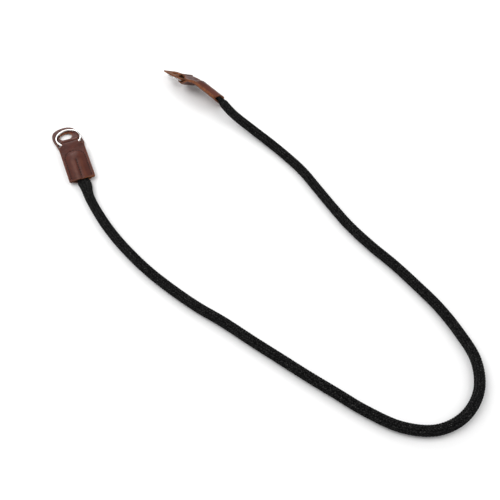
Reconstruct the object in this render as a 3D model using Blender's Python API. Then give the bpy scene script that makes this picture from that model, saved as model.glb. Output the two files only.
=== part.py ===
"""A camera shoulder strap lying on the ground: a thick braided rope with a leather tab, a split ring and a
leather guard at each end.

Run it in Blender. Units are metres and +Z is up. The ground is z = 0. The origin is on the ground in the
middle of the two leather ends, +X runs from the first end to the second, and the rope loops round on -Y.

Each end is modelled in its own frame: s runs from the tab's fold towards the rope, w runs across the tab,
and h rises from the back of the tab's seam.
"""

import math
from typing import NamedTuple

import bmesh
import bpy
import numpy as np
from mathutils import Matrix, Vector

GAP = 0.0003  # between two pieces that touch on the real strap

# The rope: a solid braided cord, squeezed where the tab's stitches hold it.
ROPE_DIAMETER = 0.0100
ROPE_IN_TAB = 0.0056
ROPE_BEVEL_RESOLUTION = 4  # gives twelve sides
ROPE_STEP = 0.0200  # between the points of the tube

# The tab: one strip of leather, folded over the ring and sewn to itself round the rope.
LEATHER = 0.0015
TAB_LENGTH = 0.0635
TAB_WIDTH = 0.0288
NECK_WIDTH = 0.0185
NECK_LENGTH = 0.0095
SHOULDER_LENGTH = 0.0050
SEAM_MARGIN = 0.0033  # flat border outside the stitched line
SEAM_BAND = 0.0020  # flat band between the loop and the pocket's arched top
CLOSING_LENGTH = 0.0090  # where the two legs come together from the loop to the seam
SWELL_FULLNESS = 2.6  # powers that shape the swelling over the rope: how full it is in the middle,
SWELL_FOOT = 1.3  # and how gently it leaves the stitched line
LOOP_RISE = 0.0007  # of the front leg over the loop; the back leg makes the rest of the loop's height
LOOP_PLAY = 0.0034  # spare height inside the loop
GROOVE_DEPTH = 0.0009  # the row of stitches down the middle pulls the front in
GROOVE_WIDTH = 0.0013

# The split ring: flat wire wound twice round, with a step where the first turn passes to the second.
RING_OUTER = 0.0288
RING_WIRE_WIDTH = 0.0013
RING_WIRE_HEIGHT = 0.0010
RING_TURN_GAP = 0.00015
RING_END_ANGLE = -50.0  # degrees from +w towards +s
RING_FLAT_ANGLE = 300.0
RING_STEP_ANGLE = 60.0
RING_DEGREES_PER_FACET = 10.0
RING_REACH = 0.0098  # past the fold, into the loop

# The guard: a leather tongue on the tab's neck, with an eye for what the ring holds.
GUARD_LENGTH = 0.0397
GUARD_WIDTH = 0.0305
GUARD_THICKNESS = 0.0016
GUARD_TAIL = 0.0130  # from the fold to the guard's inner end
GUARD_ROUND_LENGTH = 0.0175  # of the rounded outer end
GUARD_ROUNDNESS = 0.85  # power of the rounded end: 1 is an ellipse, less is squarer
GUARD_CORNER = 0.0055  # radius of the two corners at the inner end
EYE_WIDTH = 0.0145
EYE_LENGTH = 0.0120
EYE_CENTRE = -0.0100
SLOT_PLAY = 0.0015  # of the slot round the neck, towards the eye


class End(NamedTuple):
    """How one end of the strap lies."""

    mouth: tuple  # x and y of where the rope leaves the tab
    heading: float  # angle of the tab's axis from +X, from the rope to the fold
    lean: float  # how far the tab leans over on its long edge
    twist: float  # how far the neck is twisted back up from that
    guard_on_top: bool  # whether the guard or the ring lies on top
    tilt: float  # how far the ring and the guard hang back from the tab
    turn: float  # how far the guard is turned on the neck, in its own plane
    back_share: float  # how much of the swelling over the rope the back leg takes
    lip: float  # how much longer the front leg is in the middle of the mouth than at its corners
    droop: float  # how far the guard's outer end bends down past the ring
    tail_bend: float  # how far its inner end bends down past the ring


# The rope's way over the ground from the first end to the second: x, y and the height of its middle, in mm.
ROUTE_MM = [
    (-95, -52, 5.1),
    (-101, -69, 5.1),
    (-107, -101, 5.1),
    (-110, -133, 5.1),
    (-110, -163, 5.1),
    (-108, -192, 5.1),
    (-103, -224, 5.1),
    (-96, -256, 5.1),
    (-87, -286, 5.1),
    (-79, -319, 5.1),
    (-71, -350, 5.1),
    (-63, -381, 5.1),
    (-55, -409, 5.1),
    (-46, -440, 5.1),
    (-32, -471, 5.1),
    (-10, -492, 5.1),
    (18, -498, 5.1),
    (47, -489, 5.1),
    (69, -466, 5.1),
    (80, -434, 5.1),
    (86, -403, 5.1),
    (88, -373, 5.1),
    (89, -341, 5.1),
    (88, -309, 5.1),
    (89, -276, 5.1),
    (93, -246, 5.1),
    (98, -216, 5.1),
    (103, -185, 5.1),
    (104, -154, 5.1),
    (103, -130, 5.8),
    (100, -100, 7.8),
    (97, -69, 10.6),
]

# Places that follow from the sizes, in an end's own frame.
RING_STACK = 2 * RING_WIRE_HEIGHT + RING_TURN_GAP
LOOP_HEIGHT = GUARD_THICKNESS + RING_STACK + 3 * GAP + LOOP_PLAY
BACK_LEVEL = LEATHER / 2
FRONT_LEVEL = LEATHER * 1.5 + GAP
LOOP_TOP = FRONT_LEVEL + LOOP_RISE
LOOP_BOTTOM = LOOP_TOP - LEATHER - LOOP_HEIGHT
FOLD_RADIUS = (LOOP_TOP - LOOP_BOTTOM) / 2
FOLD_CENTRE = FOLD_RADIUS + LEATHER / 2
RING_CENTRE = RING_REACH - RING_OUTER / 2
RING_RIM = RING_CENTRE - RING_OUTER / 2
LOOP_END = RING_REACH + GAP
SEAM_START = LOOP_END + CLOSING_LENGTH
ARCH_RADIUS = TAB_WIDTH / 2 - SEAM_MARGIN
ARCH_CENTRE = SEAM_START + SEAM_BAND + ARCH_RADIUS
ROPE_END = ARCH_CENTRE + 5 * GAP
SWELLING = ROPE_IN_TAB + GAP  # how much further apart the legs are over the rope than at the seam
GUARD_TIP = GUARD_TAIL - GUARD_LENGTH
STACK_LEVEL = LOOP_BOTTOM + LEATHER / 2 + GAP  # the underside of the lower of the ring and the guard
SLOT_START = -SLOT_PLAY - GAP
SLOT_END = 4 * LEATHER
SLOT_STRAIGHT = NECK_WIDTH / 2 + GAP  # half the slot's straight side
PIVOT = 2 * LEATHER  # the s about which the ring and the guard tilt

NEAR = End(
    mouth=(-0.0926, -0.0412),
    heading=72.0,
    lean=0.0,
    twist=0.0,
    guard_on_top=False,
    tilt=6.5,
    turn=10.0,
    back_share=0.5,
    lip=0.0030,
    droop=0.0009,
    tail_bend=-0.0012,
)
FAR = End(
    mouth=(0.0947, -0.0420),
    heading=94.0,
    lean=55.0,
    twist=20.0,
    guard_on_top=True,
    tilt=11.0,
    turn=0.0,
    back_share=0.1,
    lip=0.0,
    droop=0.0015,
    tail_bend=0.0008,
)


def clear_scene():
    """Remove whatever the scene holds."""
    for obj in list(bpy.data.objects):
        bpy.data.objects.remove(obj)


def make_material(name, color, roughness, metallic=0.0):
    """Return a plain material of one colour."""
    material = bpy.data.materials.new(name)
    material.use_nodes = True
    shader = material.node_tree.nodes["Principled BSDF"]
    shader.inputs["Base Color"].default_value = (*color, 1.0)
    shader.inputs["Roughness"].default_value = roughness
    shader.inputs["Metallic"].default_value = metallic
    material.diffuse_color = (*color, 1.0)
    return material


def add_object(name, bm, material, parent):
    """Make an object of the bmesh, shaded smooth with sharp edges kept, under its end's empty."""
    bmesh.ops.recalc_face_normals(bm, faces=bm.faces)
    mesh = bpy.data.meshes.new(name)
    bm.to_mesh(mesh)
    bm.free()
    mesh.shade_smooth()
    mesh.set_sharp_from_angle(angle=math.radians(40))
    mesh.materials.append(material)
    obj = bpy.data.objects.new(name, mesh)
    bpy.context.scene.collection.objects.link(obj)
    obj.parent = parent
    return obj


def add_solidify(obj, thickness):
    """Give a sheet its thickness, half on each side."""
    modifier = obj.modifiers.new("Thickness", "SOLIDIFY")
    modifier.thickness = thickness
    modifier.offset = 0.0
    modifier.use_even_offset = True


def add_cut(obj, cutter):
    """Cut the cutter's shape out of the object, and keep the cutter out of sight."""
    cutter.hide_render = True
    cutter.display_type = "WIRE"
    modifier = obj.modifiers.new("Cut " + cutter.name, "BOOLEAN")
    modifier.operation = "DIFFERENCE"
    modifier.object = cutter


def ease(share):
    """Rise smoothly from 0 to 1 as the share does."""
    share = min(max(share, 0.0), 1.0)
    return share * share * (3 - 2 * share)


def bent_grid(columns, rows, place):
    """Return a grid of (columns + 1) by (rows + 1) points, each at place(column, row)."""
    bm = bmesh.new()
    bmesh.ops.create_grid(bm, x_segments=columns, y_segments=rows, size=0.5)
    for vertex in bm.verts:
        column = round((vertex.co.x + 0.5) * columns)
        row = round((vertex.co.y + 0.5) * rows)
        vertex.co = place(column, row)
    return bm


# The tab


def tab_half_width(s):
    """Half the strip's width: a narrow neck, slanting shoulders and a broad body."""
    share = min(max((s - NECK_LENGTH) / SHOULDER_LENGTH, 0.0), 1.0)
    return (NECK_WIDTH + share * (TAB_WIDTH - NECK_WIDTH)) / 2


def swell(s, w):
    """Share of its full swelling that a leg has over the rope: none at the stitched line, all in the pocket."""
    out = math.hypot(w, min(s - ARCH_CENTRE, 0.0)) / ARCH_RADIUS
    return max(1 - out**SWELL_FULLNESS, 0.0) ** SWELL_FOOT


def front_level(end, s, w):
    """Height of the front leg's middle: over the loop, flat at the seam, and swollen over the rope."""
    loop = LOOP_RISE * ease((SEAM_START - s) / CLOSING_LENGTH)
    groove = GROOVE_DEPTH * math.exp(-((w / GROOVE_WIDTH) ** 2)) * ease((s - ROPE_END) / ARCH_RADIUS)
    full = (1 - end.back_share) * SWELLING + GROOVE_DEPTH
    return FRONT_LEVEL + loop + full * swell(s, w) - groove


def back_level(end, s, w):
    """Height of the back leg's middle: swollen down under the rope, flat at the seam, and down under the loop."""
    loop = (LOOP_BOTTOM - BACK_LEVEL) * ease((SEAM_START - s) / CLOSING_LENGTH)
    return BACK_LEVEL + loop - end.back_share * SWELLING * swell(s, w)


def rope_level(end):
    """Height of the rope's middle in the pocket."""
    return LEATHER + GAP + ROPE_IN_TAB / 2 - end.back_share * SWELLING


def twist_place(end, place):
    """Twist a place in the end's frame about the tab's axis: not at all in the pocket, fully from the neck out."""
    share = ease((ARCH_CENTRE - place.x) / (ARCH_CENTRE - GUARD_TAIL))
    turn = Matrix.Rotation(math.radians(end.twist) * share, 3, "X")
    axis = Vector((place.x, 0, FRONT_LEVEL))
    return axis + turn @ (place - axis)


def strip_stations():
    """Return the strip's rows as (leg, s or angle): front leg, fold and back leg."""
    shoulder = NECK_LENGTH + SHOULDER_LENGTH
    spans = (
        (TAB_LENGTH, ARCH_CENTRE, 4),
        (ARCH_CENTRE, SEAM_START + SEAM_BAND, 6),
        (SEAM_START + SEAM_BAND, SEAM_START, 1),
        (SEAM_START, shoulder, 3),
        (shoulder, NECK_LENGTH, 3),
        (NECK_LENGTH, FOLD_CENTRE, 2),
    )
    front = [TAB_LENGTH]
    for start, end, count in spans:
        front += [start + (end - start) * k / count for k in range(1, count + 1)]
    fold = [math.pi * k / 8 for k in range(1, 8)]
    front_rows = [("front", s) for s in front]
    back_rows = [("back", s) for s in reversed(front)]
    return front_rows + [("fold", angle) for angle in fold] + back_rows


def strip_columns():
    """Return the strip's columns as shares of its half width, closer together where the front is grooved."""
    one_side = (0.07, 0.15, 0.28, 0.41, 0.54, 0.66, 1 - SEAM_MARGIN / (TAB_WIDTH / 2), 1.0)
    return [-share for share in reversed(one_side)] + [0.0] + list(one_side)


def make_tab(name, material, parent, end):
    """The leather tab: a strip folded over the ring, its two legs meeting at the seam."""
    rows = strip_stations()
    columns = strip_columns()

    def place(column, row):
        leg, where = rows[row]
        if leg == "fold":
            s = FOLD_CENTRE - FOLD_RADIUS * math.sin(where)
            level = (LOOP_TOP + LOOP_BOTTOM) / 2 + FOLD_RADIUS * math.cos(where)
            return twist_place(end, Vector((s, columns[column] * NECK_WIDTH / 2, level)))
        w = columns[column] * tab_half_width(where)
        if leg == "back":
            return twist_place(end, Vector((where, w, back_level(end, where, w))))
        s = where + end.lip * swell(where, w) * ease((where - ROPE_END) / (TAB_LENGTH - ROPE_END))
        return twist_place(end, Vector((s, w, front_level(end, where, w))))

    tab = add_object(name, bent_grid(len(columns) - 1, len(rows) - 1, place), material, parent)
    add_solidify(tab, LEATHER)
    return tab


# The split ring


def wire_section():
    """Return the wire's outline as (radius, height) from its middle: a rectangle with its corners cut."""
    wide = RING_WIRE_WIDTH / 2
    high = RING_WIRE_HEIGHT / 2
    cut = RING_WIRE_HEIGHT / 4
    right = [(wide, -high + cut), (wide, high - cut), (wide - cut, high)]
    left = [(-radius, -height) for radius, height in right]
    return [(wide - cut, -high)] + right + [(-wide + cut, high)] + left


def tilted(end, level):
    """Return the matrix that tilts a flat piece about the pivot, with its underside at the level there."""
    return (
        Matrix.Translation((0, 0, FRONT_LEVEL))
        @ Matrix.Rotation(math.radians(end.twist), 4, "X")
        @ Matrix.Translation((PIVOT, 0, level - FRONT_LEVEL))
        @ Matrix.Rotation(math.radians(-end.tilt), 4, "Y")
    )


def make_ring(name, material, parent, end, level):
    """The split ring in the loop, with its underside at the level."""
    radius = (RING_OUTER - RING_WIRE_WIDTH) / 2
    bm = bmesh.new()
    turn = Matrix.Rotation(math.radians(-RING_END_ANGLE), 3, "Z") @ Matrix.Rotation(math.pi / 2, 3, "Z")
    outline = [bm.verts.new(turn @ Vector((radius + out, 0, up))) for out, up in wire_section()]
    edges = [bm.edges.new((a, b)) for a, b in zip(outline, outline[1:] + outline[:1])]
    geometry = outline + edges
    rise = RING_WIRE_HEIGHT + RING_TURN_GAP
    for angle, lift in ((RING_FLAT_ANGLE, 0.0), (RING_STEP_ANGLE, rise), (RING_FLAT_ANGLE, 0.0)):
        steps = round(angle / RING_DEGREES_PER_FACET)
        spun = bmesh.ops.spin(
            bm,
            geom=geometry,
            cent=(0, 0, 0),
            axis=(0, 0, 1),
            dvec=(0, 0, lift / steps),
            angle=math.radians(angle),
            steps=steps,
            use_merge=False,
        )
        geometry = spun["geom_last"]
    bmesh.ops.holes_fill(bm, edges=bm.edges, sides=0)
    place = tilted(end, level) @ Matrix.Translation((RING_CENTRE - PIVOT, 0, RING_WIRE_HEIGHT / 2))
    bmesh.ops.transform(bm, matrix=place, verts=bm.verts)
    return add_object(name, bm, material, parent)


# The guard


def make_slot_cutter(name, parent):
    """A long hole with round ends in the guard, for the tab's neck."""
    bm = bmesh.new()
    radius = (SLOT_END - SLOT_START) / 2
    middle = (SLOT_START + SLOT_END) / 2 - PIVOT
    bmesh.ops.create_circle(bm, cap_ends=True, segments=16, radius=radius)
    for vertex in bm.verts:
        vertex.co.x += middle
        vertex.co.y += math.copysign(SLOT_STRAIGHT, vertex.co.y - 1e-6)
    return extrude_cutter(name, bm, parent)


def make_eye_cutter(name, parent):
    """An oval hole in the guard, for what hooks on to the ring."""
    bm = bmesh.new()
    bmesh.ops.create_circle(bm, cap_ends=True, segments=24, radius=0.5)
    for vertex in bm.verts:
        vertex.co.x = EYE_CENTRE - PIVOT + vertex.co.x * EYE_LENGTH
        vertex.co.y *= EYE_WIDTH
    return extrude_cutter(name, bm, parent)


def extrude_cutter(name, bm, parent):
    """Turn a flat outline into a cutter that runs right through the guard."""
    reach = 2 * (LOOP_HEIGHT + LEATHER)
    bmesh.ops.translate(bm, vec=(0, 0, -reach / 2), verts=bm.verts)
    made = bmesh.ops.extrude_face_region(bm, geom=list(bm.faces))
    top = [item for item in made["geom"] if isinstance(item, bmesh.types.BMVert)]
    bmesh.ops.translate(bm, vec=(0, 0, 2 * reach), verts=top)
    return add_object(name, bm, bpy.data.materials["leather"], parent)


def guard_outline():
    """Return the guard's rows as (s, half width): the round outer end, straight sides and the inner corners."""
    half = GUARD_WIDTH / 2
    turned = [math.radians(6 + 84 * k / 9) for k in range(10)]
    round_end = GUARD_TIP + GUARD_ROUND_LENGTH
    blunt = math.cos(turned[0])
    rows = [
        (round_end - GUARD_ROUND_LENGTH * math.cos(a) / blunt, half * math.sin(a) ** GUARD_ROUNDNESS)
        for a in turned
    ]
    corner = GUARD_TAIL - GUARD_CORNER
    rows += [(round_end + (corner - round_end) * k / 5, half) for k in range(1, 6)]
    for k in range(1, 5):
        angle = math.pi / 2 * k / 4
        rows.append((corner + GUARD_CORNER * math.sin(angle), half - GUARD_CORNER * (1 - math.cos(angle))))
    return rows


def make_guard(name, material, parent, end, level):
    """The guard on the neck, with its underside at the level and its ends bent down clear of the ring."""
    rows = guard_outline()
    columns = 6
    turn = Matrix.Rotation(math.radians(end.turn), 4, "Z")

    def place(column, row):
        s, half = rows[row]
        flat = Vector((s - PIVOT, half * (2 * column / columns - 1), GUARD_THICKNESS / 2))
        inward = (turn @ flat).x + PIVOT - RING_REACH
        droop = end.droop * max((s - RING_RIM) / (GUARD_TIP - RING_RIM), 0.0) ** 2
        tail = end.tail_bend * (max(inward, 0.0) / (GUARD_TAIL - RING_REACH)) ** 2
        return flat - Vector((0, 0, droop + tail))

    move = tilted(end, level) @ turn
    guard = add_object(name, bent_grid(columns, len(rows) - 1, place), material, parent)
    guard.matrix_local = move
    add_solidify(guard, GUARD_THICKNESS)
    add_cut(guard, make_eye_cutter(name + "_eye", guard))
    add_cut(guard, make_slot_cutter(name + "_slot", guard))
    return guard


# The two ends


def end_frame(end, lift, pitch):
    """Return the matrix from an end's own frame to the world, raised by the lift at the mouth."""
    return (
        Matrix.Translation((*end.mouth, 0))
        @ Matrix.Rotation(math.radians(end.heading + 180), 4, "Z")
        @ Matrix.Rotation(pitch, 4, "Y")
        @ Matrix.Translation((0, 0, lift))
        @ Matrix.Rotation(math.radians(-end.lean), 4, "X")
        @ Matrix.Translation((-TAB_LENGTH, 0, 0))
    )


def places_ahead(end, pieces):
    """Return each vertex of the pieces as (distance ahead of the mouth, height)."""
    bpy.context.view_layer.update()
    graph = bpy.context.evaluated_depsgraph_get()
    heading = math.radians(end.heading)
    ahead = Vector((math.cos(heading), math.sin(heading), 0))
    found = []
    for obj in pieces:
        shown = obj.evaluated_get(graph)
        mesh = shown.to_mesh()
        for vertex in mesh.vertices:
            place = shown.matrix_world @ vertex.co
            found.append(((place - Vector((*end.mouth, 0))).dot(ahead), place.z))
        shown.to_mesh_clear()
    return found


def rest_on_ground(end, pieces):
    """Return the lift that sets the mouth on the ground, and the pitch that sets down the rest of the end."""
    places = places_ahead(end, pieces)
    lift = -min(height for distance, height in places if distance <= LEATHER)
    pitch = max(math.atan2(-height - lift, distance) for distance, height in places if distance > LEATHER)
    return lift, max(pitch, 0.0)


def make_end(name, end, leather, steel):
    """Make the tab, the guard and the ring of an end, set them down on the ground and return their frame."""
    empty = bpy.data.objects.new(name + "_end", None)
    bpy.context.scene.collection.objects.link(empty)
    upright = math.cos(math.radians(end.tilt))
    lower = RING_STACK if end.guard_on_top else GUARD_THICKNESS
    upper_level = STACK_LEVEL + (lower + GAP) / upright
    ring_level, guard_level = STACK_LEVEL, upper_level
    if not end.guard_on_top:
        ring_level, guard_level = guard_level, ring_level
    pieces = [
        make_tab(name + "_tab", leather, empty, end),
        make_guard(name + "_guard", leather, empty, end, guard_level),
        make_ring(name + "_ring", steel, empty, end, ring_level),
    ]
    empty.matrix_world = end_frame(end, 0.0, 0.0)
    frame = end_frame(end, *rest_on_ground(end, pieces))
    empty.matrix_world = frame
    return frame


# The rope


def smooth_route(points, step):
    """Return points a step apart on one smooth curve through the given points."""
    points = [2 * points[0] - points[1]] + points + [2 * points[-1] - points[-2]]
    dense = [points[1]]
    for a, b, c, d in zip(points, points[1:], points[2:], points[3:]):
        knots = np.cumsum([0.0] + [math.sqrt((q - p).length) for p, q in ((a, b), (b, c), (c, d))])
        for t in np.linspace(knots[1], knots[2], 17)[1:]:
            ab = a.lerp(b, (t - knots[0]) / (knots[1] - knots[0]))
            bc = b.lerp(c, (t - knots[1]) / (knots[2] - knots[1]))
            cd = c.lerp(d, (t - knots[2]) / (knots[3] - knots[2]))
            abc = ab.lerp(bc, (t - knots[0]) / (knots[2] - knots[0]))
            bcd = bc.lerp(cd, (t - knots[1]) / (knots[3] - knots[1]))
            dense.append(abc.lerp(bcd, (t - knots[1]) / (knots[2] - knots[1])))
    along = np.cumsum([0.0] + [(q - p).length for p, q in zip(dense, dense[1:])])
    stations = np.linspace(0.0, along[-1], round(along[-1] / step) + 1)
    axes = [np.interp(stations, along, [point[axis] for point in dense]) for axis in range(3)]
    return [Vector(place) for place in zip(*axes)]


def make_rope(near_frame, far_frame, material):
    """The rope, from inside one tab round to inside the other."""
    near = [near_frame @ Vector((s, 0, rope_level(NEAR))) for s in (ROPE_END, TAB_LENGTH + NEAR.lip)]
    far = [far_frame @ Vector((s, 0, rope_level(FAR))) for s in (TAB_LENGTH + FAR.lip, ROPE_END)]
    route = [Vector(point) * 0.001 for point in ROUTE_MM]
    path = near[:1] + smooth_route(near[1:] + route + far[:1], ROPE_STEP) + far[1:]
    squeezed = ROPE_IN_TAB / ROPE_DIAMETER
    curve = bpy.data.curves.new("rope", "CURVE")
    curve.dimensions = "3D"
    curve.bevel_depth = ROPE_DIAMETER / 2
    curve.bevel_resolution = ROPE_BEVEL_RESOLUTION
    curve.use_fill_caps = True
    spline = curve.splines.new("POLY")
    spline.points.add(len(path) - 1)
    for index, (point, place) in enumerate(zip(spline.points, path)):
        point.co = (*place, 1.0)
        point.radius = squeezed if index < 2 or index >= len(path) - 2 else 1.0
    curve.materials.append(material)
    rope = bpy.data.objects.new("rope", curve)
    bpy.context.scene.collection.objects.link(rope)
    return rope


def main():
    clear_scene()
    leather = make_material("leather", (0.13, 0.045, 0.03), 0.45)
    steel = make_material("steel", (0.8, 0.8, 0.79), 0.18, metallic=1.0)
    cord = make_material("cord", (0.012, 0.012, 0.013), 0.85)
    near_frame = make_end("near", NEAR, leather, steel)
    far_frame = make_end("far", FAR, leather, steel)
    make_rope(near_frame, far_frame, cord)


main()
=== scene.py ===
"""The dressed shoulder strap: a thick braided rope with a folded and stitched leather tab, a split ring and a
leather guard at each end, lying in an open loop on a pale floor.

Units are metres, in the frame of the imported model: the floor is z = 0, +X runs from the near end to the far
end, and the rope loops round on -Y. Each end is modelled in its own frame: s runs from the tab's fold towards
the rope, w runs across the tab, and h rises from the back of the tab's seam.
"""

import logging
import math
from dataclasses import dataclass
from enum import Enum
from typing import NamedTuple

import bmesh
import bpy
import numpy as np
from mathutils import Matrix, Vector, noise


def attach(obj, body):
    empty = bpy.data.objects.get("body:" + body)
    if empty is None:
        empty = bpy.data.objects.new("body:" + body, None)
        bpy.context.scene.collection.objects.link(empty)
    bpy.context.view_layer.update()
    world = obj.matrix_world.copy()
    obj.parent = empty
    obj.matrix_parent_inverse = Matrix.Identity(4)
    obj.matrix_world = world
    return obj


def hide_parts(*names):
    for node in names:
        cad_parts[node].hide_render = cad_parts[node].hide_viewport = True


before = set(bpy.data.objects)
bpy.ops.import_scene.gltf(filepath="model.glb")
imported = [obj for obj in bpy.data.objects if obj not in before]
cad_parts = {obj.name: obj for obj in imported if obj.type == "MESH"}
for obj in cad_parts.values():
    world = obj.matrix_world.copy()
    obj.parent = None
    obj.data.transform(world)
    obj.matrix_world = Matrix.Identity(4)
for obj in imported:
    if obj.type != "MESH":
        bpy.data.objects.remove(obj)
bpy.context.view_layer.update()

LOG = logging.getLogger("strap")
BODY = "root"
GAP = 0.0003  # between two pieces that touch on the real strap
LEATHER = 0.0015
SAME_PLACE = 1e-6  # points nearer to each other than this are one
ON_PLANE = 1e-7  # a point nearer to a cutting plane than this lies on it
CRISP = math.radians(50)  # faces that meet more sharply than this keep a crisp edge
SQUARE = math.radians(70)  # and those that meet more sharply than this get a rounded one

Colour = tuple[float, float, float]
Place = tuple[float, float, float]
Pair = tuple[float, float]
Material = bpy.types.Material
Socket = bpy.types.NodeSocket

# The rope's way over the floor from the near end to the far one: x, y and the height of its middle.
ROUTE = (
    (-0.095, -0.052, 0.0051), (-0.101, -0.069, 0.0051), (-0.107, -0.101, 0.0051), (-0.110, -0.133, 0.0051),
    (-0.110, -0.163, 0.0051), (-0.108, -0.192, 0.0051), (-0.103, -0.224, 0.0051), (-0.096, -0.256, 0.0051),
    (-0.087, -0.286, 0.0051), (-0.079, -0.319, 0.0051), (-0.071, -0.350, 0.0051), (-0.063, -0.381, 0.0051),
    (-0.055, -0.409, 0.0051), (-0.046, -0.440, 0.0051), (-0.032, -0.471, 0.0051), (-0.010, -0.492, 0.0051),
    (0.018, -0.498, 0.0051), (0.047, -0.489, 0.0051), (0.069, -0.466, 0.0051), (0.080, -0.434, 0.0051),
    (0.086, -0.403, 0.0051), (0.088, -0.373, 0.0051), (0.089, -0.341, 0.0051), (0.088, -0.309, 0.0051),
    (0.089, -0.276, 0.0051), (0.093, -0.246, 0.0051), (0.098, -0.216, 0.0051), (0.103, -0.185, 0.0051),
    (0.104, -0.154, 0.0051), (0.103, -0.130, 0.0058), (0.100, -0.100, 0.0078), (0.097, -0.069, 0.0106),
)


def ease(share: float) -> float:
    """Rise smoothly from 0 to 1 as the share does, and stay level on both sides."""
    share = min(max(share, 0.0), 1.0)
    return share * share * (3 - 2 * share)


def bell(distance: float, width: float) -> float:
    """Fall smoothly from 1 on a line to about a third at the given width from it, and on to 0."""
    return math.exp(-((distance / width) ** 2))


def round_edges(bm: bmesh.types.BMesh, offset: float, segments: int) -> None:
    """Round the edges of a shape where its faces meet nearly square.

    Args:
        bm: the shape.
        offset: how far the rounding reaches from the edge.
        segments: how many faces it has.
    """
    bmesh.ops.bevel(
        bm,
        geom=[edge for edge in bm.edges if edge.calc_face_angle(0.0) > SQUARE],
        offset=offset,
        segments=segments,
        profile=0.5,
        affect="EDGES",
        clamp_overlap=True,
        material=-1,
    )


def add_piece(name: str, bm: bmesh.types.BMesh, finishes: list[Material]) -> bpy.types.Object:
    """Make a shown piece of the bmesh and let it ride on the strap's body.

    Args:
        name: the piece's name.
        bm: its shape in world places, which is used up.
        finishes: its materials, in the order of the faces' material numbers.

    Returns:
        The piece's object.
    """
    mesh = bpy.data.meshes.new(name)
    bm.to_mesh(mesh)
    bm.free()
    mesh.shade_smooth()
    mesh.set_sharp_from_angle(angle=CRISP)
    for finish in finishes:
        mesh.materials.append(finish)
    piece = bpy.data.objects.new(name, mesh)
    bpy.context.scene.collection.objects.link(piece)
    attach(piece, BODY)
    return piece


# The finishes


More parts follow.
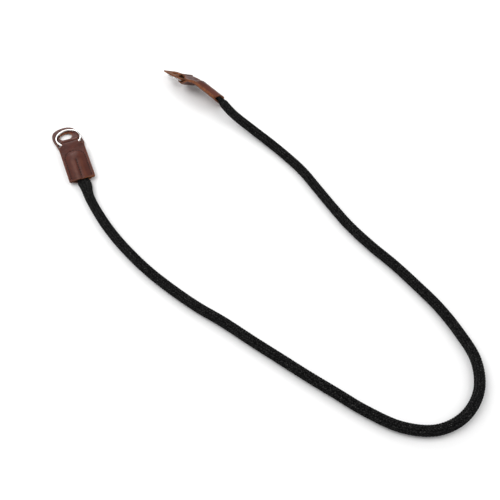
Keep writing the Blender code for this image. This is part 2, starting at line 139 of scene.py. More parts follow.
class Recipe:
    """The nodes of one finish, wired up as they are asked for."""

    def __init__(self, name: str) -> None:
        """Start a material with its shader.

        Args:
            name: the material's name.
        """
        self.material = bpy.data.materials.new(name)
        self.material.use_nodes = True
        self.tree = self.material.node_tree
        self.shader = self.tree.nodes["Principled BSDF"]

    def node(self, kind: str, **settings: object) -> bpy.types.Node:
        """Add a node.

        Args:
            kind: the node's type.
            settings: its properties by name.

        Returns:
            The node.
        """
        made = self.tree.nodes.new(kind)
        for key, value in settings.items():
            setattr(made, key, value)
        return made

    def feed(self, socket: Socket, value: Socket | float | Colour) -> None:
        """Link another node's output to an input, or set the input's own value.

        Args:
            socket: the input.
            value: an output to link, a number or a colour.
        """
        if isinstance(value, bpy.types.NodeSocket):
            self.tree.links.new(value, socket)
        elif isinstance(value, tuple) and socket.type == "RGBA":
            socket.default_value = (*value, 1.0)
        else:
            socket.default_value = value

    def reckon(self, operation: str, *values: Socket | float) -> Socket:
        """Reckon with up to three numbers.

        Args:
            operation: the sum to do.
            values: its numbers, in order.

        Returns:
            The outcome.
        """
        made = self.node("ShaderNodeMath", operation=operation)
        for socket, value in zip(made.inputs, values):
            self.feed(socket, value)
        return made.outputs[0]

    def times(self, first: Socket | float, second: Socket | float) -> Socket:
        """Return the product of two numbers."""
        return self.reckon("MULTIPLY", first, second)

    def ramp(self, value: Socket, gain: float, start: Socket | float) -> Socket:
        """Return the start plus the value times the gain."""
        return self.reckon("MULTIPLY_ADD", value, gain, start)

    def rest(self, value: Socket) -> Socket:
        """Return what is left of 1 without the value."""
        return self.reckon("SUBTRACT", 1.0, value)

    def place(self, stretch: Place = (1.0, 1.0, 1.0)) -> Socket:
        """Read the place on the piece.

        Args:
            stretch: how much the place is stretched along each axis.

        Returns:
            The place, in metres before the stretch.
        """
        made = self.node("ShaderNodeMapping")
        self.feed(made.inputs["Vector"], self.node("ShaderNodeTexCoord").outputs["Object"])
        made.inputs["Scale"].default_value = stretch
        return made.outputs[0]

    def clouds(self, place: Socket, scale: float, detail: float = 3.0, roughness: float = 0.55) -> Socket:
        """Make a soft random pattern.

        Args:
            place: where it is read.
            scale: blotches to the metre.
            detail: how many finer layers it has.
            roughness: how strong those are.

        Returns:
            The pattern, from 0 to 1.
        """
        made = self.node("ShaderNodeTexNoise")
        self.feed(made.inputs["Vector"], place)
        made.inputs["Scale"].default_value = scale
        made.inputs["Detail"].default_value = detail
        made.inputs["Roughness"].default_value = roughness
        return made.outputs[0]

    def cells(self, place: Socket, scale: float, feature: str) -> Socket:
        """Make random cells.

        Args:
            place: where they are read.
            scale: cells to the metre.
            feature: which distance in the cell is wanted.

        Returns:
            The distance, in cells.
        """
        made = self.node("ShaderNodeTexVoronoi", feature=feature)
        self.feed(made.inputs["Vector"], place)
        made.inputs["Scale"].default_value = scale
        return made.outputs["Distance"]

    def span(self, value: Socket, low: float, high: float) -> Socket:
        """Spread a stretch of values over 0 to 1, cut off at both ends.

        Args:
            value: the values.
            low: the value that becomes 0.
            high: the value that becomes 1.

        Returns:
            The spread values.
        """
        made = self.node("ShaderNodeMapRange", clamp=True)
        self.feed(made.inputs["Value"], value)
        made.inputs["From Min"].default_value = low
        made.inputs["From Max"].default_value = high
        return made.outputs[0]

    def mark(self, name: str) -> Socket:
        """Return the number of that name that is kept on the piece's corners."""
        return self.node("ShaderNodeAttribute", attribute_name=name).outputs["Fac"]

    def mix(self, share: Socket | float, first: Socket | Colour, second: Socket | Colour) -> Socket:
        """Mix two colours.

        Args:
            share: how much of the second there is.
            first: the colour at share 0.
            second: the colour at share 1.

        Returns:
            The mixed colour.
        """
        made = self.node("ShaderNodeMix", data_type="RGBA")
        self.feed(made.inputs[0], share)
        self.feed(made.inputs[6], first)
        self.feed(made.inputs[7], second)
        return made.outputs[2]

    def relief(self, height: Socket, depth: float, strength: float, below: Socket | None = None) -> Socket:
        """Turn heights into bumps.

        Args:
            height: the height, from 0 to 1.
            depth: what a height of 1 stands for, in metres.
            strength: how strongly the bumps show.
            below: coarser bumps that these lie on.

        Returns:
            The bumpy normal.
        """
        made = self.node("ShaderNodeBump")
        self.feed(made.inputs["Height"], height)
        made.inputs["Distance"].default_value = depth
        made.inputs["Strength"].default_value = strength
        if below is not None:
            self.feed(made.inputs["Normal"], below)
        return made.outputs[0]

    def finish(self, **values: Socket | float | Colour) -> Material:
        """Feed the shader's inputs.

        Args:
            values: what each takes, by its name with underscores for spaces.

        Returns:
            The finished material.
        """
        for key, value in values.items():
            self.feed(self.shader.inputs[key.replace("_", " ")], value)
        return self.material


@dataclass(frozen=True)
class Braid:
    """Matt black braided yarn: V-shaped columns of short floats, with painted highlights speckled over their
    crowns and painted shade down in the hollows between them.
    """

    columns: int = 12
    float_pitch: float = 0.0028
    depth: float = 0.00055
    crown_power: int = 2  # how squarely a float rises and falls along the rope
    side_power: int = 4  # and across it
    yarns: float = 3.0  # side by side in each float
    yarn: Colour = (0.0012, 0.0012, 0.0014)
    # painted highlight: the lighter speckles on the floats' crowns
    painted_highlight: Colour = (0.0310, 0.0308, 0.0306)
    worn: Colour = (0.030, 0.0295, 0.029)
    # painted shade in the hollows between the floats
    painted_hollow_shade: Colour = (0.0002, 0.0002, 0.0003)
    fleck: Colour = (0.20, 0.195, 0.185)

    def height(self, around: float, along: float) -> float:
        """Give the braid's height at a place on the rope.

        Args:
            around: how far round the rope, from 0 to 1.
            along: how far along it, in floats.

        Returns:
            The height, from 0 in the hollows to 1 on the crown of a float.
        """
        column = around * self.columns + 1e-6  # a place between two columns counts as the second's
        across = column % 1.0
        odd = int(column) % 2
        phase = (along + (1 - 2 * odd) * (across - 0.5) + 0.5 * odd) % 1.0
        return (1 - (2 * phase - 1) ** self.crown_power) * (1 - (2 * across - 1) ** self.side_power)

    def make(self, floats: float) -> Material:
        """Make the rope's material, whose floats lie on those of the height.

        Args:
            floats: how many floats there are along the rope.

        Returns:
            The material.
        """
        r = Recipe("rope_braid")
        uv = r.node("ShaderNodeSeparateXYZ")
        r.feed(uv.inputs[0], r.node("ShaderNodeTexCoord").outputs["UV"])
        column = r.times(uv.outputs[0], float(self.columns))
        across = r.reckon("FRACT", column)
        odd = r.reckon("MODULO", r.reckon("FLOOR", column), 2.0)
        slant = r.times(r.ramp(odd, -2.0, 1.0), r.reckon("SUBTRACT", across, 0.5))
        along = r.ramp(odd, 0.5, r.times(uv.outputs[1], floats))
        wobble = r.times(r.clouds(r.place(), 420.0), 0.16)
        phase = r.reckon("FRACT", r.reckon("ADD", r.reckon("ADD", along, slant), wobble))
        crown = r.rest(r.reckon("POWER", self.off_middle(r, phase), float(self.crown_power)))
        sides = r.rest(r.reckon("POWER", self.off_middle(r, across), float(self.side_power)))
        height = r.times(crown, sides)
        yarns = self.off_middle(r, r.reckon("FRACT", r.times(phase, self.yarns)))
        fuzz = r.clouds(r.place(), scale=2600.0, detail=4.0, roughness=0.7)
        # where the painted highlight speckles the crowns
        highlight_speckle = r.span(r.clouds(r.place(), scale=680.0, detail=5.0, roughness=0.74), low=0.46, high=0.57)
        yarn = r.mix(highlight_speckle, self.yarn, self.painted_highlight)
        # painted shade: darker the lower the braid lies, down to the hollows
        dull = r.mix(r.span(height, low=0.15, high=0.75), self.painted_hollow_shade, yarn)
        shade = r.mix(r.times(r.span(fuzz, low=0.45, high=0.75), 0.25), dull, self.worn)
        dots = r.span(r.cells(r.place(), scale=480.0, feature="F1"), low=0.20, high=0.09)
        flecks = r.times(dots, r.span(r.clouds(r.place(), scale=260.0), low=0.48, high=0.54))
        colour = r.mix(r.times(flecks, 0.6), shade, self.fleck)
        bumps = r.relief(height, depth=self.depth, strength=0.9)
        bumps = r.relief(yarns, depth=0.00008, strength=0.6, below=bumps)
        bumps = r.relief(fuzz, depth=0.00012, strength=0.5, below=bumps)
        return r.finish(
            Base_Color=colour,
            Roughness=r.ramp(fuzz, gain=0.2, start=0.75),
            Specular_IOR_Level=0.03,
            Sheen_Weight=0.012,
            Sheen_Roughness=0.4,
            Normal=bumps,
        )

    def off_middle(self, r: Recipe, share: Socket) -> Socket:
        """Return how far a share is from one half, from 0 in the middle to 1 at both ends."""
        return r.reckon("ABSOLUTE", r.ramp(share, 2.0, -1.0))


@dataclass(frozen=True)
class GrainLeather:
    """The hide's smooth outer side: dark brown, finely pebbled, with a waxy sheen and paler worn borders."""

    brown: Colour = (0.092, 0.0200, 0.0108)
    deep: Colour = (0.045, 0.0095, 0.0055)
    # paler where worn, and the painted highlight on the crests beside the middle row
    worn: Colour = (0.165, 0.050, 0.023)
    # darker where the stitches press the leather, and painted shade in the groove and the crease
    pressed_and_shaded: Colour = (0.020, 0.007, 0.005)

    def make(self) -> Material:
        """Make the material, which reads the marks wear and press where a piece has them; the wear mark also
        carries a painted highlight on the crests, and the press mark painted shade in the groove and the
        crease.

        Returns:
            The material.
        """
        r = Recipe("leather_grain")
        place = r.place()
        mottle = r.span(r.clouds(place, scale=70.0, detail=5.0), low=0.32, high=0.68)
        pores = r.cells(place, scale=1500.0, feature="F1")
        pebbles = r.span(r.cells(place, scale=520.0, feature="DISTANCE_TO_EDGE"), low=0.0, high=0.16)
        grazes = r.clouds(r.place((1.0, 0.35, 1.0)), scale=340.0, detail=5.0, roughness=0.7)
        scuffs = r.span(grazes, low=0.52, high=0.74)
        colour = r.mix(mottle, self.deep, self.brown)
        colour = r.mix(r.times(r.rest(pebbles), 0.35), colour, self.deep)
        colour = r.mix(r.times(scuffs, 0.28), colour, self.worn)
        # the wear mark: paler where worn, and a painted highlight on the crests beside the middle row
        colour = r.mix(r.times(r.mark("wear"), 0.75), colour, self.worn)
        # the press mark: darker where the stitches press the leather, and painted shade along the groove and
        # in the crease
        colour = r.mix(r.times(r.mark("press"), 0.8), colour, self.pressed_and_shaded)
        bumps = r.relief(pebbles, depth=0.00010, strength=0.42)
        bumps = r.relief(pores, depth=0.00005, strength=0.45, below=bumps)
        bumps = r.relief(r.clouds(place, scale=160.0, detail=4.0), depth=0.0005, strength=0.35, below=bumps)
        return r.finish(
            Base_Color=colour,
            Roughness=r.ramp(r.clouds(place, scale=240.0, detail=4.0), gain=0.22, start=0.27),
            Specular_IOR_Level=0.18,
            Coat_Weight=0.03,
            Coat_Roughness=0.35,
            Normal=bumps,
        )


@dataclass(frozen=True)
class FleshLeather:
    """The hide's inner side: lighter orange-brown, matt and fibrous."""

    tan: Colour = (0.190, 0.074, 0.027)
    shade: Colour = (0.100, 0.037, 0.014)
    nap: Colour = (0.250, 0.118, 0.052)

    def make(self) -> Material:
        """Make the material.

        Returns:
            The material.
        """
        r = Recipe("leather_flesh")
        blotches = r.span(r.clouds(r.place(), scale=120.0, detail=5.0), low=0.34, high=0.66)
        fibres = r.clouds(r.place((1.0, 1.7, 1.0)), scale=1900.0, detail=5.0, roughness=0.72)
        colour = r.mix(blotches, self.shade, self.tan)
        colour = r.mix(r.times(r.span(fibres, low=0.5, high=0.78), 0.6), colour, self.nap)
        return r.finish(
            Base_Color=colour,
            Roughness=r.ramp(fibres, gain=0.2, start=0.72),
            Specular_IOR_Level=0.12,
            Sheen_Weight=0.05,
            Normal=r.relief(fibres, depth=0.00018, strength=0.7),
        )


@dataclass(frozen=True)
class CutLeather:
    """The cut edge of the hide: orange-brown, layered and a little ragged, darker where it is burnished."""

    core: Colour = (0.290, 0.088, 0.026)
    burnt: Colour = (0.110, 0.035, 0.014)
    fibre: Colour = (0.420, 0.185, 0.072)
    burnished: Colour = (0.050, 0.016, 0.010)

    def make(self) -> Material:
        """Make the material, which reads the mark "raw": 1 where the cut was left raw, 0 where burnished.

        Returns:
            The material.
        """
        r = Recipe("leather_cut")
        blotches = r.span(r.clouds(r.place(), scale=380.0, detail=4.0), low=0.36, high=0.62)
        layers = r.clouds(r.place((1.0, 1.0, 4.0)), scale=900.0, detail=4.0, roughness=0.65)
        colour = r.mix(blotches, self.burnt, self.core)
        colour = r.mix(r.times(r.span(layers, low=0.5, high=0.75), 0.55), colour, self.fibre)
        return r.finish(
            Base_Color=r.mix(r.mark("raw"), self.burnished, colour),
            Roughness=r.ramp(layers, gain=0.25, start=0.55),
            Specular_IOR_Level=0.2,
            Normal=r.relief(layers, depth=0.00015, strength=0.7),
        )


@dataclass(frozen=True)
class WaxedThread:
    """Dark brown waxed sewing thread with a fine twist, lighter where a painted highlight lies on the twist.
    """

    colour: Colour = (0.0035, 0.0022, 0.0020)
    # painted highlight on the twist
    painted_highlight: Colour = (0.016, 0.010, 0.008)

    def make(self) -> Material:
        """Make the material.

        Returns:
            The material.
        """
        r = Recipe("thread")
        twist = r.clouds(r.place((1.0, 0.4, 1.0)), scale=3200.0, detail=2.0)
        return r.finish(
            Base_Color=r.mix(r.span(twist, low=0.42, high=0.7), self.colour, self.painted_highlight),
            Roughness=r.ramp(twist, gain=0.2, start=0.42),
            Specular_IOR_Level=0.15,
            Normal=r.relief(twist, depth=0.00008, strength=0.6),
        )


@dataclass(frozen=True)
class PlatedSteel:
    """Polished nickel plate with fine scratches and slightly duller patches."""

    bright: Colour = (0.83, 0.82, 0.80)
    dull: Colour = (0.62, 0.61, 0.60)

    def make(self) -> Material:
        """Make the material.

        Returns:
            The material.
        """
        r = Recipe("ring_steel")
        patches = r.span(r.clouds(r.place(), scale=260.0, detail=4.0), low=0.35, high=0.7)
        scratches = r.clouds(r.place((1.0, 6.0, 1.0)), scale=1400.0, detail=3.0, roughness=0.7)
        return r.finish(
            Base_Color=r.mix(patches, self.bright, self.dull),
            Roughness=r.ramp(patches, gain=0.14, start=0.10),
            Metallic=1.0,
            Normal=r.relief(scratches, depth=0.00002, strength=0.25),
        )


@dataclass(frozen=True)
class Finishes:
    """One of each finish, shared by the pieces of both ends."""

    grain: Material
    flesh: Material
    cut: Material
    thread: Material
    steel: Material

    @classmethod
    def make(cls) -> "Finishes":
        """Make them all.

        Returns:
            The finishes.
        """
        return cls(
            grain=GrainLeather().make(),
            flesh=FleshLeather().make(),
            cut=CutLeather().make(),
            thread=WaxedThread().make(),
            steel=PlatedSteel().make(),
        )

    def leather(self) -> list[Material]:
        """Return the leather's finishes, in the order of a leather piece's material numbers."""
        return [self.grain, self.flesh, self.cut]


# How the two ends lie


@dataclass(frozen=True)
class Lie:
    """How one end of the strap lies, and the way from its own frame to the world."""

    name: str
    mouth: Pair  # where the rope leaves the tab, in x and y
    heading: float  # angle of the tab's axis from +X, from the rope to the fold
    lean: float  # how far the tab leans over on its long edge
    twist: float  # how far the neck is twisted back up from that
    guard_on_top: bool
    tilt: float  # how far the ring and the guard hang back from the tab
    turn: float  # how far the guard is turned on the neck
    back_share: float  # how much of the swelling over the rope the back leg takes
    lip: float  # how much longer the front leg is in the middle of the mouth
    droop: float  # how far the guard's outer end bends down past the ring
    tail_bend: float  # how far its inner end bends down past the ring
    lift: float  # of the mouth above the floor
    pitch: float  # of the whole end, in radians, down to where it rests
    flesh_up: bool  # whether the guard shows its flesh side on top
    raw: float  # how raw the long cut edges are left, as a share
    rubbed: float  # how wide the rubbed border inside them is
    rounding: float  # how far from the mouth the rope is round again
    spread: float  # how much wider the rope spreads just outside the mouth
    seed: float  # sets this end's own creases apart from the other's

    def frame(self, tab_length: float) -> Matrix:
        """Work out where this end is.

        Args:
            tab_length: from the tab's fold to its mouth.

        Returns:
            The matrix from the end's own frame to the world.
        """
        return (
            Matrix.Translation((*self.mouth, 0))
            @ Matrix.Rotation(math.radians(self.heading + 180), 4, "Z")
            @ Matrix.Rotation(self.pitch, 4, "Y")
            @ Matrix.Translation((0, 0, self.lift))
            @ Matrix.Rotation(math.radians(-self.lean), 4, "X")
            @ Matrix.Translation((-tab_length, 0, 0))
        )


NEAR = Lie(
    name="near",
    mouth=(-0.0926, -0.0412),
    heading=72.0,
    lean=0.0,
    twist=0.0,
    guard_on_top=False,
    tilt=6.5,
    turn=10.0,
    back_share=0.5,
    lip=0.0030,
    droop=0.0009,
    tail_bend=-0.0012,
    lift=0.00295,
    pitch=0.0758708,
    flesh_up=False,
    raw=0.22,
    rubbed=0.0007,
    rounding=0.0230,
    spread=0.0016,
    seed=3.7,
)
FAR = Lie(
    name="far",
    mouth=(0.0947, -0.0420),
    heading=94.0,
    lean=55.0,
    twist=20.0,
    guard_on_top=True,
    tilt=11.0,
    turn=0.0,
    back_share=0.1,
    lip=0.0,
    droop=0.0015,
    tail_bend=0.0008,
    lift=0.0117958,
    pitch=0.0338783,
    flesh_up=True,
    raw=0.62,
    rubbed=0.0040,
    rounding=0.0090,
    spread=0.0,
    seed=8.2,
)


# The tab


class Leg(Enum):
    """The stretches of the tab's folded strip."""

    FRONT = "front"
    FOLD = "fold"
    BACK = "back"


@dataclass(frozen=True)
class Wearing:
    """How wide the worn places, the stitch press, the painted shade, the painted highlight and the raw places
    of a tab are.
    """

    fold_rim: float = 0.0009  # worn, along the fold's two edges
    end_rim: float = 0.0010  # worn, along the mouth
    mouth: float = 0.0020  # raw, along the mouth
    mouth_fade: float = 0.0050  # to one side of the mouth's middle
    groove: float = 0.0008  # painted shade, along the groove under the middle row
    groove_fade: float = 0.0040
    crease: float = 0.0007  # painted shade, in the crease under the bar of the fold
    crest_highlight: float = 0.0016  # painted highlight, on the crests beside the middle row
    crest_highlight_place: float = 0.0042
    crest_highlight_fade: float = 0.0060


@dataclass
class Tab:
    """The leather tab: one strip folded over the ring, its two legs stitched together round the rope."""

    lie: Lie
    length: float = 0.0635
    width: float = 0.0288
    neck_width: float = 0.0185
    neck_length: float = 0.0095
    shoulder_length: float = 0.0050
    corner_length: float = 0.0022  # of the softened corners at the mouth
    corner_cut: float = 0.0009
    seam_margin: float = 0.0033
    seam_band: float = 0.0020
    seam_close: float = 0.4  # how far each leg closes the gap at the seam, as a share of it
    closing_length: float = 0.0090
    rope_in_tab: float = 0.0056
    swell_fullness: float = 2.6
    swell_foot: float = 1.3
    loop_height: float = 0.00805
    loop_rise: float = 0.0007
    loop_end: float = 0.0101
    groove_depth: float = 0.0009
    groove_width: float = 0.0013
    press_depth: float = 0.00022  # of the stitched line
    press_width: float = 0.0008
    press_end: float = 0.0010  # from the mouth to where the press ends
    press_fade: float = 0.0020
    crease_place: float = 0.0070  # where the front leg bends in under the bar of the fold
    crease_depth: float = 0.00065
    crease_width: float = 0.0011
    wrinkle: float = 0.00022
    wide_wrinkles: Pair = (95.0, 120.0)  # to the metre, along the tab and across it
    fine_wrinkles: Pair = (310.0, 260.0)
    fine_share: float = 0.35  # of the wide wrinkles' height
    fold_wrinkle: float = 0.5  # how strongly the fold is wrinkled, as a share of the legs
    edge_rounding: float = 0.00028
    stitch_pitch: float = 0.0032
    stitch_length: float = 0.0021
    stitch_width: float = 0.00120
    stitch_height: float = 0.00068
    stitch_lift: float = 0.00006  # of its middle above the leather
    seam_end: float = 0.0028  # from the mouth to the ends of the seam
    row_start: float = 0.0030  # from the rope's end to the middle row
    row_end: float = 0.0020  # from the mouth to the end of the middle row
    thread_end: float = 0.0012  # from the mouth to the thread's cut end
    columns: int = 66
    row_step: float = 0.0005
    fold_rows: int = 22
    guard_tail: float = 0.0130  # where the guard's inner end is
    wearing: Wearing = Wearing()

    def __post_init__(self) -> None:
        """Work out the levels and places that follow from the sizes."""
        self.front = LEATHER * 1.5 + GAP
        self.back = LEATHER / 2
        self.loop_top = self.front + self.loop_rise
        self.loop_bottom = self.loop_top - LEATHER - self.loop_height
        self.fold_radius = (self.loop_top - self.loop_bottom) / 2
        self.fold_centre = self.fold_radius + LEATHER / 2
        self.seam_start = self.loop_end + self.closing_length
        self.arch_radius = self.width / 2 - self.seam_margin
        self.arch_centre = self.seam_start + self.seam_band + self.arch_radius
        self.rope_end = self.arch_centre + 5 * GAP
        self.swelling = self.rope_in_tab + GAP
        self.frame = self.lie.frame(self.length)

    def rope_level(self) -> float:
        """Return the height of the rope's middle in the pocket."""
        return LEATHER + GAP + self.rope_in_tab / 2 - self.lie.back_share * self.swelling

    def half_width(self, s: float) -> float:
        """Give half the strip's width: a narrow neck, slanting shoulders and a body with soft corners.

        Args:
            s: the place along the tab.

        Returns:
            Half the width there.
        """
        share = min(max((s - self.neck_length) / self.shoulder_length, 0.0), 1.0)
        half = (self.neck_width + share * (self.width - self.neck_width)) / 2
        return half - self.corner_cut * ease((s - self.length + self.corner_length) / self.corner_length) ** 3

    def out(self, s: float, w: float) -> float:
        """Return how far out of the pocket's middle a place is: 1 on the stitched line."""
        return math.hypot(w, min(s - self.arch_centre, 0.0)) / self.arch_radius

    def swell(self, s: float, w: float) -> float:
        """Return the share of its full swelling that a leg has over the rope."""
        return max(1 - self.out(s, w) ** self.swell_fullness, 0.0) ** self.swell_foot

    def press(self, s: float, w: float) -> float:
        """Return how far the stitches press the leather in, as a share."""
        line = bell((self.out(s, w) - 1) * self.arch_radius, self.press_width)
        return line * ease((self.length - self.press_end - s) / self.press_fade)

    def uneven(self, s: float, w: float, leg: Leg) -> float:
        """Give the leather's own small unevenness.

        Args:
            s: the place along the tab.
            w: the place across it.
            leg: the stretch of the strip, whose back leg has wrinkles of its own.

        Returns:
            The height of the wrinkles there, in metres.
        """
        set_apart = self.lie.seed + (5.0 if leg is Leg.BACK else 0.0)
        (wide_s, wide_w), (fine_s, fine_w) = self.wide_wrinkles, self.fine_wrinkles
        wide = noise.noise(Vector((s * wide_s, w * wide_w, set_apart)))
        fine = noise.noise(Vector((s * fine_s, w * fine_w, set_apart + 2)))
        return self.wrinkle * (wide + self.fine_share * fine)

    def leg_level(self, leg: Leg, s: float, w: float) -> float:
        """Give the height of a leg's middle: over the loop, flat at the seam, and swollen over the rope.

        Args:
            leg: the front or the back leg.
            s: the place along the tab.
            w: the place across it.

        Returns:
            The height in the end's frame.
        """
        swell = self.swell(s, w)
        loop = ease((self.seam_start - s) / self.closing_length)
        close = self.seam_close * GAP * ease((s - self.seam_start) / self.seam_band) * (1 - swell)
        press = self.press_depth * self.press(s, w)
        if leg is Leg.BACK:
            level = self.back + (self.loop_bottom - self.back) * loop
            level -= self.lie.back_share * self.swelling * swell
            return level + close + press + self.uneven(s, w, leg)
        groove = self.groove_depth * bell(w, self.groove_width) * ease((s - self.rope_end) / self.arch_radius)
        full = (1 - self.lie.back_share) * self.swelling + self.groove_depth
        crease = self.crease_depth * bell(s - self.crease_place, self.crease_width)
        level = self.front + self.loop_rise * loop + full * swell - groove
        return level - crease - close - press + self.uneven(s, w, leg)

    def twisted(self, place: Vector) -> Vector:
        """Twist a place about the tab's axis: not at all in the pocket, fully from the neck out.

        Args:
            place: where it is before the twist, in the end's frame.

        Returns:
            Where it is after the twist.
        """
        share = ease((self.arch_centre - place.x) / (self.arch_centre - self.guard_tail))
        turn = Matrix.Rotation(math.radians(self.lie.twist) * share, 3, "X")
        axis = Vector((place.x, 0, self.front))
        return axis + turn @ (place - axis)

    def leg_place(self, leg: Leg, s: float, w: float) -> Vector:
        """Give the place of a point on a leg's middle.

        Args:
            leg: the front or the back leg.
            s: the place along the tab.
            w: the place across it.

        Returns:
            The place in the end's frame.
        """
        reach = s
        if leg is Leg.FRONT:
            done = ease((s - self.rope_end) / (self.length - self.rope_end))
            reach += self.lie.lip * self.swell(s, w) * done
        return self.twisted(Vector((reach, w, self.leg_level(leg, s, w))))

    def fold_place(self, angle: float, share: float) -> Vector:
        """Give the place of a point round the fold.

        Args:
            angle: how far round from the front leg.
            share: the place across, from -1 to 1.

        Returns:
            The place in the end's frame.
        """
        s = self.fold_centre - self.fold_radius * math.sin(angle)
        level = (self.loop_top + self.loop_bottom) / 2 + self.fold_radius * math.cos(angle)
        w = share * self.neck_width / 2
        rumple = self.fold_wrinkle * self.uneven(s, w, Leg.FOLD) * math.sin(angle)
        return self.twisted(Vector((s - rumple, w, level)))

    def stations(self) -> list[tuple[Leg, float]]:
        """Give the strip's rows, from the mouth over the fold and back to the mouth.

        Returns:
            Each row's stretch of the strip, and its s on a leg or its angle round the fold.
        """
        count = round((self.length - self.fold_centre) / self.row_step)
        front = [self.length + (self.fold_centre - self.length) * k / count for k in range(count + 1)]
        fold = [math.pi * k / self.fold_rows for k in range(1, self.fold_rows)]
        rows = [(Leg.FRONT, s) for s in front]
        rows += [(Leg.FOLD, angle) for angle in fold]
        return rows + [(Leg.BACK, s) for s in reversed(front)]

    def build(self, finishes: Finishes) -> bpy.types.Object:
        """Build the tab in place of its CAD node.

        Args:
            finishes: the shared finishes.

        Returns:
            The tab.
        """
        rows = self.stations()
        bm = bmesh.new()
        bmesh.ops.create_grid(bm, x_segments=self.columns, y_segments=len(rows) - 1, size=0.5)
        # the marks: wear with a painted highlight on the crests, press with painted shade in the groove and
        # the crease, and raw
        layers = [bm.verts.layers.float.new(name) for name in ("wear", "press", "raw")]
        for vertex in bm.verts:
            leg, where = rows[round((vertex.co.y + 0.5) * (len(rows) - 1))]
            share = 2 * round((vertex.co.x + 0.5) * self.columns) / self.columns - 1
            if leg is Leg.FOLD:
                place = self.fold_place(where, share)
            else:
                place = self.leg_place(leg, where, share * self.half_width(where))
            vertex.co = self.frame @ place
            for layer, value in zip(layers, self.marks(leg, where, share)):
                vertex[layer] = value
        self.face_grain_out(bm)
        tab = add_piece(f"{self.lie.name}_tab_leather", bm, finishes.leather())
        wall = tab.modifiers.new("Thickness", "SOLIDIFY")
        wall.thickness = LEATHER
        wall.offset = 0.0
        wall.use_even_offset = True
        wall.material_offset = 1
        wall.material_offset_rim = 2
        edge = tab.modifiers.new("Soft edges", "BEVEL")
        edge.width = self.edge_rounding
        edge.segments = 2
        edge.limit_method = "ANGLE"
        edge.angle_limit = math.radians(60)
        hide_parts(f"{self.lie.name}_tab")
        return tab

    def marks(self, leg: Leg, where: float, share: float) -> tuple[float, float, float]:
        """Give the wear with a painted highlight on the crests, the stitch press with painted shade in the
        groove and the crease, and the rawness of the cut at a place on the strip.

        Args:
            leg: the stretch of the strip.
            where: s on a leg, or the angle round the fold.
            share: the place across, from -1 to 1.

        Returns:
            The three marks, each from 0 to 1.
        """
        wide = self.wearing
        if leg is Leg.FOLD:
            side = (1 - abs(share)) * self.neck_width / 2
            return 0.35 * bell(side, wide.fold_rim) + 0.1, 0.0, self.lie.raw
        w = share * self.half_width(where)
        side = (1 - abs(share)) * self.half_width(where)
        wear = max(bell(side, self.lie.rubbed), 0.7 * bell(self.length - where, wide.end_rim))
        press = 0.4 * self.press(where, w)
        mouth = bell(self.length - where, wide.mouth) * (0.15 + 0.85 * ease(w / wide.mouth_fade))
        if leg is Leg.FRONT:
            past_end = where - self.rope_end
            # painted shade along the groove under the middle row, carried in the press mark
            groove = bell(w, wide.groove) * ease(past_end / wide.groove_fade)
            # painted shade in the crease under the bar of the fold
            crease = bell(where - self.crease_place, wide.crease)
            press = max(press, 0.7 * groove, crease)
            # painted highlight on the crests beside the middle row, carried in the wear mark
            crest_highlight = 0.35 * bell(abs(w) - wide.crest_highlight_place, wide.crest_highlight) * ease(past_end / wide.crest_highlight_fade)
            wear = max(wear, crest_highlight)
        return min(wear, 1.0), min(press, 1.0), max(self.lie.raw, mouth)

    def face_grain_out(self, bm: bmesh.types.BMesh) -> None:
        """Turn the strip's faces so that the grain side is outside, which on the front leg is up.

        Args:
            bm: the strip in world places.
        """
        bmesh.ops.recalc_face_normals(bm, faces=bm.faces)
        middle = self.frame @ self.leg_place(Leg.FRONT, self.length - 0.01, 0.0)
        nearest = min(bm.faces, key=lambda face: (face.calc_center_median() - middle).length)
        if nearest.normal.dot(self.frame.col[2].to_3d()) < 0:
            bmesh.ops.reverse_faces(bm, faces=bm.faces)

    def seam_line(self) -> list[Pair]:
        """Set out the seam's stitches: up one side, round the arch and down the other side.

        Returns:
            The stitches' middles, in s and w.
        """
        straight = self.length - self.seam_end - self.arch_centre
        arch = math.pi * self.arch_radius
        count = round((2 * straight + arch) / self.stitch_pitch)
        line = []
        for k in range(count):
            done = (2 * straight + arch) * (k + 0.5) / count
            if done < straight:
                line.append((self.arch_centre + straight - done, self.arch_radius))
            elif done < straight + arch:
                angle = (done - straight) / self.arch_radius
                s = self.arch_centre - self.arch_radius * math.sin(angle)
                line.append((s, self.arch_radius * math.cos(angle)))
            else:
                line.append((self.arch_centre + done - straight - arch, -self.arch_radius))
        return line

    def middle_row(self) -> list[Pair]:
        """Set out the stitches down the middle of the front.

        Returns:
            The stitches' middles, in s and w.
        """
        start = self.rope_end + self.row_start
        count = int((self.length - self.row_end - start) / self.stitch_pitch)
        return [(start + (k + 0.5) * self.stitch_pitch, 0.0) for k in range(count)]

    def stitch_place(self, leg: Leg, s: float, w: float, along: Vector) -> Matrix:
        """Find how a unit ball becomes one stitch on the outside of a leg.

        Args:
            leg: the front or the back leg.
            s: the stitch's place along the tab.
            w: its place across.
            along: the stitch's direction, in s and w.

        Returns:
            The matrix from the unit ball to the stitch in the world.
        """
        step = 0.0002  # either side of the stitch, to feel how the leather slopes
        here = self.leg_place(leg, s, w)
        down = (self.leg_place(leg, s + step, w) - self.leg_place(leg, s - step, w)).normalized()
        over = (self.leg_place(leg, s, w + step) - self.leg_place(leg, s, w - step)).normalized()
        out = down.cross(over).normalized()
        if leg is Leg.BACK:
            out = -out
        way = (down * along.x + over * along.y).normalized()
        side = out.cross(way)
        centre = here + out * (LEATHER / 2 + self.stitch_lift)
        half = (side * self.stitch_width / 2, out * (self.stitch_height / 2), way * self.stitch_length / 2)
        return self.frame @ Matrix.Translation(centre) @ Matrix(half).transposed().to_4x4()

